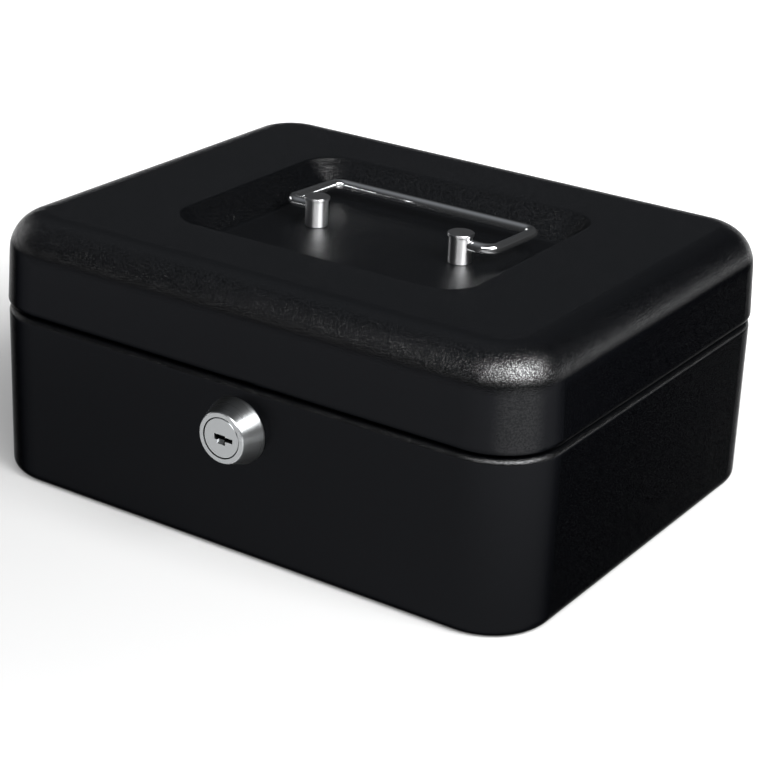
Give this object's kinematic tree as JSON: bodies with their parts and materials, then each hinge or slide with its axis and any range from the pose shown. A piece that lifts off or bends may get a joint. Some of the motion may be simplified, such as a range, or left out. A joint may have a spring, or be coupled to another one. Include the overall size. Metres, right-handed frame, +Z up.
{
  "type": "cash box",
  "caption": "Small black steel cash box with a hinged lid, key lock in a tapered nose, folding wire handle in a sunk well and a lift-out coin tray.",
  "frame": {"origin": "centre of the flat underside", "axes": "+X along the front, to the right as the lock is faced; +Y from the lock to the hinge; +Z up"},
  "size_m": [0.2004, 0.1674, 0.0888],
  "materials": {
    "black_powder_coat": "fine-textured semi-matt powder coat",
    "satin_nickel": "turned, satin nickel",
    "bright_chrome": "polished chrome",
    "zinc_plated_steel": "zinc plated",
    "wafer_brass": "plain stamped",
    "tray_plastic": "fine moulded grain"
  },
  "bodies": {
    "base": {"base_shell": "black_powder_coat", "hinge_leaf_base": "black_powder_coat", "hinge_pin": "zinc_plated_steel", "lock_housing": "satin_nickel", "lock_washer": "zinc_plated_steel", "lock_nut": "zinc_plated_steel", "tray_ledge_left": "black_powder_coat", "tray_ledge_right": "black_powder_coat"},
    "lid": {"lid_shell": "black_powder_coat", "hinge_leaf_lid": "black_powder_coat", "lid_strike": "zinc_plated_steel", "handle_post_left": "satin_nickel", "handle_post_right": "satin_nickel", "post_washers": "zinc_plated_steel", "post_screws": "zinc_plated_steel"},
    "handle": {"handle_bail": "bright_chrome"},
    "lock_core": {"lock_plug": "satin_nickel", "wafer_tumblers": "wafer_brass", "turn_stop_washer": "zinc_plated_steel", "lock_cam": "zinc_plated_steel", "cam_washer": "zinc_plated_steel", "cam_screw": "zinc_plated_steel"},
    "tray": {"coin_tray": "tray_plastic"}
  },
  "joints": [
    {"name": "lid_hinge", "type": "hinge", "parent": "base", "child": "lid", "pos_m": [0, 0.0784, 0.0569], "axis": [-1, 0, 0], "range_deg": [0, 100]},
    {"name": "handle_swing", "type": "hinge", "parent": "lid", "child": "handle", "pos_m": [0.0005, 0, 0.0852], "axis": [1, 0, 0], "range_deg": [-6, 190]},
    {"name": "lock_turn", "type": "hinge", "parent": "base", "child": "lock_core", "pos_m": [0.00165, -0.0795, 0.0419], "axis": [0, -1, 0], "range_deg": [0, 90]},
    {"name": "tray_lift", "type": "slide", "parent": "base", "child": "tray", "axis": [0, 0, 1], "range_m": [0, 0.018]}
  ]
}
